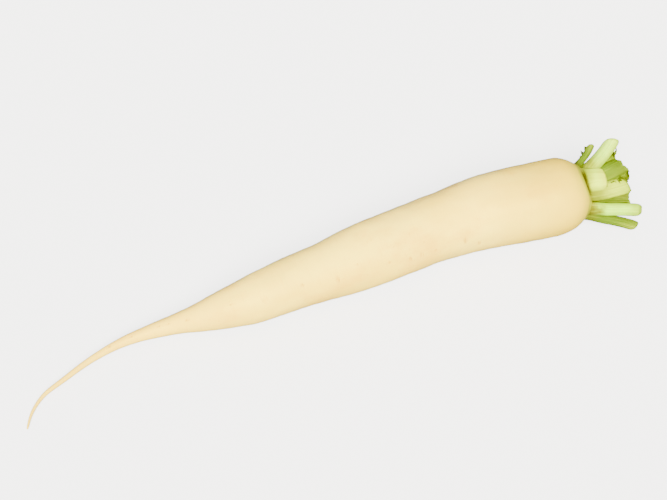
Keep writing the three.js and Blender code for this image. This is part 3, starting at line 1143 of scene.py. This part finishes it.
@dataclass
class LeafStalk:
    """One leaf stalk that was cut off above the crown."""

    # Its place round the crown's axis, in degrees, and off it; how far it leans out and sways aside, in
    # degrees; how wide its foot and its stem are; and how its cut slopes outwards and sideways.
    around: float
    radius: float
    length: float
    lean: float
    sway: float
    sheath: float
    width: float
    thick: float
    cut: Span
    blades: tuple[Side, ...] = ()
    tone: Tone = Tone.PALE
    corners: int = 44
    rings: int = 26
    sink: float = 3.5
    # Where along the stalk it bends, and how much of its lean it has below that.
    knee_share: float = 0.45
    foot_share: float = 0.35
    trace_steps: int = 120
    sheath_thickness: float = 4.2
    sheath_share: float = 0.46
    most_clasp: float = 1.2
    channel: float = 0.5
    outer_share: float = 0.62
    cut_sharpness: int = 4
    ribs: int = 5
    rib_height: float = 0.34
    groove: float = 0.9
    ribbed_from: Span = (0.12, 0.5)
    collar: float = 1.5
    # How dark the painted shade in the crease at its foot is, and from how far above the crown's skin it
    # shows.
    crease: float = 0.4
    crease_above: Span = (4.6, 1.5)
    crowding: float = 1.4
    rounding: float = 0.1
    rounding_length: float = 5.0
    # How far the cut is torn, how much of the end that reaches and how often it changes on the way round.
    torn: float = 0.0
    torn_from: Span = (0.86, 1.0)
    tear_turns: float = 4.5
    tear_seed: int = 0
    blade_reach: float = 4.9
    blade_past: float = 2.2
    # The cut end: how far ahead of the last section each ring is, how far inside its edge, and its zone.
    end_rings: tuple[Triple, ...] = (
        (0.30, 0.08, 0.20),
        (0.58, 0.34, 0.45),
        (0.62, 0.72, 0.60),
        (0.50, 1.30, 0.72),
        (0.34, 1.90, 0.90),
    )
    most_inset: float = 0.40
    # What the cut face's zone is where the patterns begin to draw together on it, and how fast they do.
    gathering: Span = (0.5, 1.6)
    # How far a whole turn round the crown moves the patterns, in metres, so that no two stalks agree.
    pattern_shift: float = 17.0

    def share_at(self, ring: int) -> float:
        """Returns how far along the stalk a ring is. Rings are closer together towards the cut."""
        return 1.0 - (1.0 - ring / (self.rings - 1)) ** self.crowding

    def ring_at(self, share: float) -> float:
        """Returns the place among the rings of a share of the stalk's length."""
        return (1.0 - (1.0 - share) ** (1.0 / self.crowding)) * (self.rings - 1)

    def turns(self) -> list[float]:
        """Returns the angle of each corner of a ring, from the stalk's one edge over its outer face."""
        return [TURN * k / self.corners for k in range(self.corners)]

    def heading(self, crown: Crown, share: float) -> Vector:
        """Works out a direction of the stalk on its way from upright to its full lean and sway.

        Args:
            crown: What it stands on.
            share: How much of them it has taken.

        Returns:
            The direction.
        """
        lean, sway = math.radians(self.lean * share), math.radians(self.sway * share)
        upright = crown.axis * math.cos(lean) + crown.outward(self.around) * math.sin(lean)
        return upright * math.cos(sway) + crown.outward(self.around + 90.0) * math.sin(sway)

    def line(self, crown: Crown) -> list[tuple[Vector, Vector]]:
        """Traces the stalk's middle line, from its foot in the crown to its cut end.

        Args:
            crown: What it stands on.

        Returns:
            The point of each ring, with the direction there.
        """
        deep = crown.root.shoulder_depth(self.radius) + self.sink
        foot = crown.peak - crown.axis * deep + crown.outward(self.around) * self.radius
        knee = foot + self.heading(crown, self.foot_share) * self.length * self.knee_share
        end = knee + self.heading(crown, 1.0) * self.length * (1.0 - self.knee_share)
        points = []
        for i in range(self.trace_steps + 1):
            t = i / self.trace_steps
            points.append(foot * (1.0 - t) ** 2 + knee * (2.0 * t * (1.0 - t)) + end * t**2)
        lengths = [0.0]
        for before, after in zip(points, points[1:]):
            lengths.append(lengths[-1] + (after - before).length)
        traced = []
        for ring in range(self.rings):
            goal = lengths[-1] * self.share_at(ring)
            j = min(max(bisect.bisect_left(lengths, goal), 1), self.trace_steps)
            part = (goal - lengths[j - 1]) / (lengths[j] - lengths[j - 1])
            t = (j - 1 + part) / self.trace_steps
            slope = (knee - foot) * (1.0 - t) + (end - knee) * t
            traced.append((points[j - 1].lerp(points[j], part), slope.normalized()))
        return traced

    def crosses(self, crown: Crown) -> list[Cross]:
        """Works out the stalk's cross sections.

        Args:
            crown: What it stands on.

        Returns:
            The section at each ring, from its foot to its cut end.
        """
        clasp = min(self.sheath / (2.0 * self.radius), self.most_clasp)
        sections = []
        for ring, (middle, along) in enumerate(self.line(crown)):
            share = self.share_at(ring)
            out = crown.outward(self.around)
            out = (out - along * out.dot(along)).normalized()
            grown = smooth(share, 0.0, self.sheath_share)
            cut = share**self.cut_sharpness
            nearing = max(1.0 - (1.0 - share) * self.length / self.rounding_length, 0.0)
            full = 1.0 - self.rounding * (1.0 - math.sqrt(1.0 - nearing**2))
            sections.append(
                Cross(
                    middle=middle,
                    along=along,
                    out=out,
                    aside=along.cross(out),
                    width=lerp(self.sheath, self.width, grown) * full,
                    thick=lerp(min(self.sheath_thickness, self.thick), self.thick, grown) * full,
                    bend=lerp(clasp, self.channel, grown),
                    slopes=(self.cut[0] * cut, self.cut[1] * cut),
                )
            )
        return sections

    def foot(self, crown: Crown) -> Foot:
        """Returns where the stalk leaves the crown."""
        leaving = round(self.ring_at(self.sink / self.length))
        return Foot(self.crosses(crown)[leaving], self.outer_share, self.collar, self.crease)

    def outline(self, cross: Cross, share: float, inset: float = 0.0, ahead: float = 0.0) -> list[Vector]:
        """Draws one ring: a ribbed outer face and a grooved inner face.

        Args:
            cross: The section that the ring lies in.
            share: Of the stalk's length there.
            inset: How far the ring is inside the section's edge, in millimetres.
            ahead: How far the ring is moved on along the stalk, in millimetres.

        Returns:
            The ring's corners.
        """
        inset = min(inset, self.most_inset * cross.thick)
        thick = cross.thick - 2.0 * inset
        slim = replace(cross, middle=cross.middle + cross.along * ahead, width=cross.width - 2.0 * inset)
        relief = smooth(share, *self.ribbed_from) * thick / cross.thick
        ragged = self.torn * smooth(share, *self.torn_from)
        ring = []
        for k, turn in enumerate(self.turns()):
            across, rising = -math.cos(turn), math.sin(turn)
            if k < self.corners / 2:
                rib = 0.5 + 0.5 * math.cos(math.pi * (self.ribs * across + 1.0))
                height = (thick * self.outer_share - self.rib_height * (1.0 - rib) * relief) * rising
            else:
                height = thick * (1.0 - self.outer_share) * rising + self.groove * relief * rising**2
            place = Vector((-across * self.tear_turns, rising * self.tear_turns, self.around))
            ring.append(slim.point(across, height) + cross.along * ragged * noise.noise(place))
        return ring

    def model(self, crown: Crown, name: str) -> Piece:
        """Grows the stalk from its foot to its cut face.

        Args:
            crown: What it stands on.
            name: The piece's name.

        Returns:
            The piece, with the attributes that its skin reads.
        """
        sections = self.crosses(crown)
        sprout = Sprout(name, self.outline(sections[0], 0.0))
        zones = [(0.0, 0.0)]
        for ring, cross in enumerate(sections[1:], 1):
            share = self.share_at(ring)
            sprout.grow(self.outline(cross, share))
            zones.append((share, 0.0))
        for ahead, inset, zone in self.end_rings:
            sprout.grow(self.outline(sections[-1], 1.0, inset, ahead))
            zones.append((1.0, zone))
        piece = sprout.done()
        points = piece.data.vertices
        grown = [Vector()] * len(points)
        zone_of = [Vector()] * len(points)
        creases = [0.0] * len(points)
        shift = self.pattern_shift * self.around / 360.0
        gathered_from, gathering = self.gathering
        for (share, cut), ring in zip(zones, sprout.rings):
            size = 1.0 - max(cut - gathered_from, 0.0) * gathering
            for turn, index in zip(self.turns(), ring):
                across, rising = -math.cos(turn), math.sin(turn)
                place = (across * size * self.width / 2.0, rising * size * self.thick / 2.0)
                grown[index] = Vector((*place, share * self.length)) * MM + Vector((shift, shift, 0.0))
                zone_of[index] = Vector((abs(across), cut, share))
                # The painted shade in the crease where the stalk leaves the crown.
                low = smooth(crown.above(points[index].co / MM), *self.crease_above)
                creases[index] = self.crease * creased(across) * low
        write_attributes(piece, grown=grown, zone=zone_of, crease=creases)
        round_off(piece, 1)
        return piece

    def dress(self, crown: Crown, name: str) -> Piece:
        """Models the stalk with what is left of its blade, and gives both their finishes.

        Args:
            crown: What it stands on.
            name: The piece's name.

        Returns:
            The finished piece.
        """
        piece = self.model(crown, name)
        piece.data.materials.append(material_of(self.tone.value))
        for side in self.blades:
            strip = BladeStrip(self, side).model(crown, f"{name}_blade_{side.name.lower()}")
            strip.data.materials.append(material_of(LeafBlade()))
            join([piece, strip])
        return piece


@dataclass
class YoungLeaf(LeafStalk):
    """One of the small leaves of the heart, finer than a full-grown leaf stalk."""

    tone: Tone = Tone.YOUNG
    corners: int = 28
    rings: int = 16
    ribs: int = 3
    rib_height: float = 0.2
    groove: float = 0.4
    collar: float = 0.7
    end_rings: tuple[Triple, ...] = (
        (0.18, 0.04, 0.20),
        (0.348, 0.17, 0.45),
        (0.372, 0.36, 0.60),
        (0.30, 0.65, 0.72),
        (0.204, 0.95, 0.90),
    )


@dataclass
class BladeStrip:
    """The ragged strip of leaf blade that is left along one edge of a stalk."""

    stalk: LeafStalk
    side: Side
    start: float = 0.42
    least: float = 0.7
    rooted: float = 1.6
    thickness: float = 0.42
    # How far it is bent outwards and how far its frill swings, in degrees, and in how long waves it does,
    # in radians along the strip.
    spread: float = 18.0
    frill: float = 22.0
    long_wave: float = 19.0
    short_wave: float = 43.0
    short_swing: float = 0.4
    # Its low lobes come in waves too, and it has this share of its reach between them.
    lobe_wave: float = 8.0
    between_lobes: float = 0.5
    # Where along the strip it opens up and where it narrows, to this share of its reach.
    opens: Span = (0.0, 0.2)
    narrows: Span = (0.9, 1.0)
    narrow_reach: float = 0.7
    # From where it runs on past the stalk's cut.
    runs_past: Span = (0.8, 1.0)
    # How far its edge reaches ahead for each millimetre that it stands out.
    forward: float = 0.35
    # Its teeth, with the most that a notch takes off the reach, from which share of that, and its curve.
    teeth: int = 12
    tooth_depth: float = 0.44
    least_depth: float = 0.3
    tooth_curve: float = 1.5
    columns: int = 72
    rows: int = 5
    pattern_length: float = 20.0

    def model(self, crown: Crown, name: str) -> Piece:
        """Lays a fine grid along the stalk's edge, frills and tears it, and gives it its thickness.

        Args:
            crown: What the stalk stands on.
            name: The piece's name.

        Returns:
            The strip, with the attributes that its finish reads.
        """
        pick()
        cells = {"x_subdivisions": self.columns - 1, "y_subdivisions": self.rows - 1}
        bpy.ops.mesh.primitive_grid_add(size=2.0, **cells)
        piece = named_primitive(name)
        stalk, sections = self.stalk, self.stalk.crosses(crown)
        scatter = random.Random(round(stalk.around * 10.0) + self.side.value + stalk.tear_seed)
        depths = [
            scatter.uniform(self.least_depth, 1.0) * self.tooth_depth for _ in range(self.teeth + 1)
        ]
        phase = scatter.uniform(0.0, 6.0)
        grown, zones = [], []
        for point in piece.data.vertices:
            lengthwise = (point.co.x + 1.0) / 2.0
            outwards = (point.co.y + 1.0) / 2.0
            share = lerp(self.start, 1.0, lengthwise)
            place = stalk.ring_at(share)
            index = min(int(place), stalk.rings - 2)
            cross, beyond = sections[index], sections[index + 1]
            inner = self.side.value * (1.0 - self.rooted / (cross.width / 2.0))
            near = cross.point(inner, 0.0).lerp(beyond.point(inner, 0.0), place - index)
            near += cross.along * stalk.blade_past * smooth(lengthwise, *self.runs_past)
            reach = (self.rooted + self._reach(lengthwise, depths, phase)) * outwards
            spread = math.radians(self.spread + self.frill * self._wave(lengthwise, phase) * outwards)
            away = cross.aside * self.side.value * math.cos(spread) + cross.out * math.sin(spread)
            point.co = (near + away * reach + cross.along * self.forward * reach * outwards) * MM
            grown.append(Vector((reach, 0.0, lengthwise * self.pattern_length)) * MM)
            zones.append(Vector((outwards, 0.0, share)))
        write_attributes(piece, grown=grown, zone=zones)
        leaf = {"thickness": self.thickness * MM, "offset": 0.0}
        apply_modifier(piece, "Leaf thickness", "SOLIDIFY", leaf)
        settle(piece)
        round_off(piece, 1)
        return piece

    def _wave(self, lengthwise: float, phase: float) -> float:
        """Returns how far the frill swings at a place along the strip: a long wave and a short one."""
        short = self.short_swing * math.sin(2.0 * phase + lengthwise * self.short_wave)
        return math.sin(phase + lengthwise * self.long_wave) + short

    def _reach(self, lengthwise: float, depths: Sequence[float], phase: float) -> float:
        """Shapes the torn edge, with low lobes and jagged teeth.

        Args:
            lengthwise: The place along the strip, from 0 to 1.
            depths: How deep the notch before each tooth is.
            phase: Where the lobes start.

        Returns:
            How far the edge stands out from the stalk there.
        """
        place = lengthwise * self.teeth
        index = int(place)
        notch = depths[index] * (1.0 - (place - index)) ** self.tooth_curve
        lobe = lerp(self.between_lobes, 1.0, 0.5 + 0.5 * math.sin(phase + lengthwise * self.lobe_wave))
        opened = smooth(lengthwise, *self.opens)
        opened *= lerp(1.0, self.narrow_reach, smooth(lengthwise, *self.narrows))
        return self.least + (self.stalk.blade_reach - self.least) * opened * lobe * (1.0 - notch)


@dataclass
class Tuft:
    """All that stands on the crown: the cut leaf stalks, the outermost first, and the heart."""

    crown: Crown
    # Each row is around, radius, length, lean, sway, sheath, width, thick, cut, blades and tone.
    stalks: tuple[LeafStalk, ...] = (
        LeafStalk(
            18, 18.6, 17.5, 8, 12, 27, 20, 7, (0.1, 0.15), (), Tone.CREAMY, rounding=0.25, crease=1.0
        ),
        LeafStalk(130, 19, 47, 26, 12, 14, 11, 8, (-0.2, 0.1), (), Tone.GREEN, rounding=0.2),
        LeafStalk(262, 19, 38, 28, 0, 20, 12, 7, (0.5, 0.2), (), Tone.CREAMY),
        LeafStalk(181, 18.4, 33, 8, 5, 18, 11.5, 6.5, (0.4, -0.2), (), Tone.WHITISH),
        LeafStalk(312, 17.6, 23, 52, -6, 18, 8, 5, (0.3, 0.5), (Side.LEFT,), Tone.GREEN),
        LeafStalk(97, 18.2, 43, 18, 0, 15, 10.5, 8.5, (-0.25, 0.2), (), Tone.PALE, rounding=0.35),
        LeafStalk(58, 15, 32, 16, -9, 12, 13.5, 8, (0.2, 0.2), (), Tone.YELLOWISH, rounding=0.3),
        LeafStalk(222, 16.8, 41, 18, -5, 18, 10.5, 7, (0.3, 0.2), (), Tone.PALE),
        LeafStalk(-17, 14, 36, 56, -3, 20, 13, 8, (0.3, 0.7), (), Tone.WHITISH),
        LeafStalk(152, 13.5, 31, 12, 8, 14, 10, 6, (0.2, 0.3), (Side.RIGHT,), Tone.GREEN),
        LeafStalk(
            9, 12, 31.5, 33, 0, 16, 17, 6, (0.3, 0.4), (Side.LEFT, Side.RIGHT), Tone.LEAFY,
            torn=1.6, blade_reach=7.4, blade_past=0.6, tear_seed=22,
        ),
        LeafStalk(72, 12, 31, 24, 3, 13, 10, 6, (0.4, 0.1), (Side.LEFT, Side.RIGHT), Tone.OLIVE, torn=1.4),
        LeafStalk(298, 11.5, 34, 26, 8, 14, 10, 6, (-0.3, 0.3), (Side.RIGHT,), Tone.LEAFY, torn=1.0),
        LeafStalk(232, 9, 30, 13, 0, 12, 9, 5.2, (0.3, -0.3), (Side.LEFT,), Tone.GREEN),
    )
    heart: tuple[YoungLeaf, ...] = (
        YoungLeaf(340, 3.6, 24, 16, 0, 9, 6.2, 4.2, (0.3, 0.2), (Side.LEFT,)),
        YoungLeaf(112, 3.6, 27, 10, 0, 8.5, 6, 4, (-0.3, 0.2), (Side.RIGHT,)),
        YoungLeaf(222, 3.2, 20, 18, 0, 7, 4.6, 3.4, (0.4, 0), (Side.LEFT,)),
        YoungLeaf(40, 2, 17, 10, 0, 6, 4.2, 3, (0.2, 0), (Side.RIGHT,)),
    )

    def feet(self) -> list[Foot]:
        """Returns where all the stalks leave the crown."""
        return [stalk.foot(self.crown) for stalk in (*self.stalks, *self.heart)]

    def dress(self) -> None:
        """Makes each stalk and the heart, and says which node each stands for."""
        for number, stalk in enumerate(self.stalks, 1):
            piece = stalk.dress(self.crown, f"grown_stalk_{number:02d}")
            stand_for(piece, f"leaf_stalk_{number:02d}")
        piece = join([leaf.dress(self.crown, f"heart_{i}") for i, leaf in enumerate(self.heart)])
        piece.name = piece.data.name = "grown_heart"
        stand_for(piece, "heart_leaves")


# ---------- Studio ----------


@dataclass
class Studio:
    """A pale floor and backdrop, soft light all round and the camera, with sizes and places in metres."""

    camera_at: Triple = (-0.4287, -0.6970, 0.8788)
    # From what the camera looks at towards the camera.
    camera_back: Triple = (-0.304, -0.610, 0.731)
    lens: float = 85.0
    floor_size: float = 30.0
    floor_colour: str = "#D6D4D0"
    floor_glow: float = 3.0
    sky_colour: str = "#FFFCF6"
    sky_strength: float = 0.58
    wall_radius: float = 14.0
    wall_height: float = 6.0
    wall_corners: int = 96
    wall_glow: float = 4.6
    # The direction that the lamps stand in and how many degrees they spread over.
    lamp_from: Triple = (-0.33, -0.68, 0.65)
    lamp_spread: float = 32.0
    warm_lamp: tuple[str, float] = ("#FFE33C", 21.4)
    floor_lamp: tuple[str, float] = ("#FFFDF8", 14.4)

    def stage(self, piece: Piece, material: bpy.types.Material) -> None:
        """Makes a piece part of the studio, which throws no light of its own on the radish.

        Args:
            piece: The floor or the backdrop.
            material: Its material.
        """
        piece.data.materials.append(material)
        piece.visible_diffuse = False
        piece.visible_glossy = False

    def floor(self) -> Piece:
        """Lays the floor. It glows a little, so that it stays as pale as the backdrop.

        Returns:
            The floor.
        """
        pick()
        bpy.ops.mesh.primitive_plane_add(size=self.floor_size)
        floor = named_primitive("studio_floor")
        paper = {
            "Base Color": linear(self.floor_colour),
            "Roughness": 0.9,
            "Specular IOR Level": 0.1,
            "Emission Color": (1.0, 1.0, 1.0, 1.0),
            "Emission Strength": self.floor_glow,
        }
        self.stage(floor, new_material("matt_paper_floor", paper))
        return floor

    def wall(self) -> None:
        """Stands a pale backdrop far behind the radish on every side. It throws no light or shadow."""
        pick()
        bpy.ops.mesh.primitive_cylinder_add(
            vertices=self.wall_corners,
            radius=self.wall_radius,
            depth=self.wall_height,
            end_fill_type="NOTHING",
            location=(0.0, 0.0, self.wall_height / 2.0),
        )
        wall = named_primitive("studio_wall")
        glow = {
            "Base Color": (0.0, 0.0, 0.0, 1.0),
            "Specular IOR Level": 0.0,
            "Emission Color": linear(self.sky_colour),
            "Emission Strength": self.wall_glow,
        }
        wall.visible_transmission = False
        wall.visible_shadow = False
        self.stage(wall, new_material("pale_backdrop", glow))

    def lamp(self, name: str, colour: str, strength: float, floor: Piece, state: str) -> None:
        """Hangs one very broad lamp above the camera's side.

        Args:
            name: The lamp's name.
            colour: Its colour, as an sRGB hex value.
            strength: Its strength.
            floor: The floor.
            state: INCLUDE if it lights the floor alone, or EXCLUDE if it lights all but the floor.
        """
        data = bpy.data.lights.new(name, "SUN")
        data.color = linear(colour)[:3]
        data.energy = strength
        data.angle = math.radians(self.lamp_spread)
        lamp = bpy.data.objects.new(name, data)
        lamp.rotation_mode = "QUATERNION"
        lamp.rotation_quaternion = Vector(self.lamp_from).to_track_quat("Z", "Y")
        bpy.context.scene.collection.objects.link(lamp)
        lit = bpy.data.collections.new(f"lit_by_{name}")
        lit.objects.link(floor)
        lit.collection_objects[0].light_linking.link_state = state
        lamp.light_linking.receiver_collection = lit

    def lights(self, floor: Piece) -> None:
        """Sets the soft light: a bright room, a warm lamp for the radish and a plain one for the floor.

        The floor has a lamp of its own so that it stays white and still shows the radish's soft shadow.

        Args:
            floor: The floor.
        """
        self.lamp("warm_lamp", *self.warm_lamp, floor, "EXCLUDE")
        self.lamp("floor_lamp", *self.floor_lamp, floor, "INCLUDE")
        world = bpy.data.worlds.new("bright_room")
        world.use_nodes = True
        sky = {"Color": linear(self.sky_colour), "Strength": self.sky_strength}
        set_inputs(world.node_tree.nodes["Background"], sky)
        bpy.context.scene.world = world

    def camera(self) -> None:
        """Sets up the camera, which looks down on the radish from the side of its tail."""
        data = bpy.data.cameras.new("camera")
        data.lens = self.lens
        camera = bpy.data.objects.new("camera", data)
        back = Vector(self.camera_back).normalized()
        right = UP.cross(back).normalized()
        turn = Matrix((right, back.cross(right), back)).transposed()
        camera.matrix_world = Matrix.Translation(self.camera_at) @ turn.to_4x4()
        bpy.context.scene.collection.objects.link(camera)
        bpy.context.scene.camera = camera


def main() -> None:
    """Builds the radish and its studio."""
    logging.basicConfig(level=logging.INFO, format="%(name)s: %(message)s")
    studio = Studio()
    studio.camera()
    studio.lights(studio.floor())
    studio.wall()
    root = Root()
    root.rough_out()
    tuft = Tuft(Crown.of(root))
    root.grow_skin(tuft.feet())
    root.dress()
    tuft.dress()


if __name__ == "__main__":
    main()
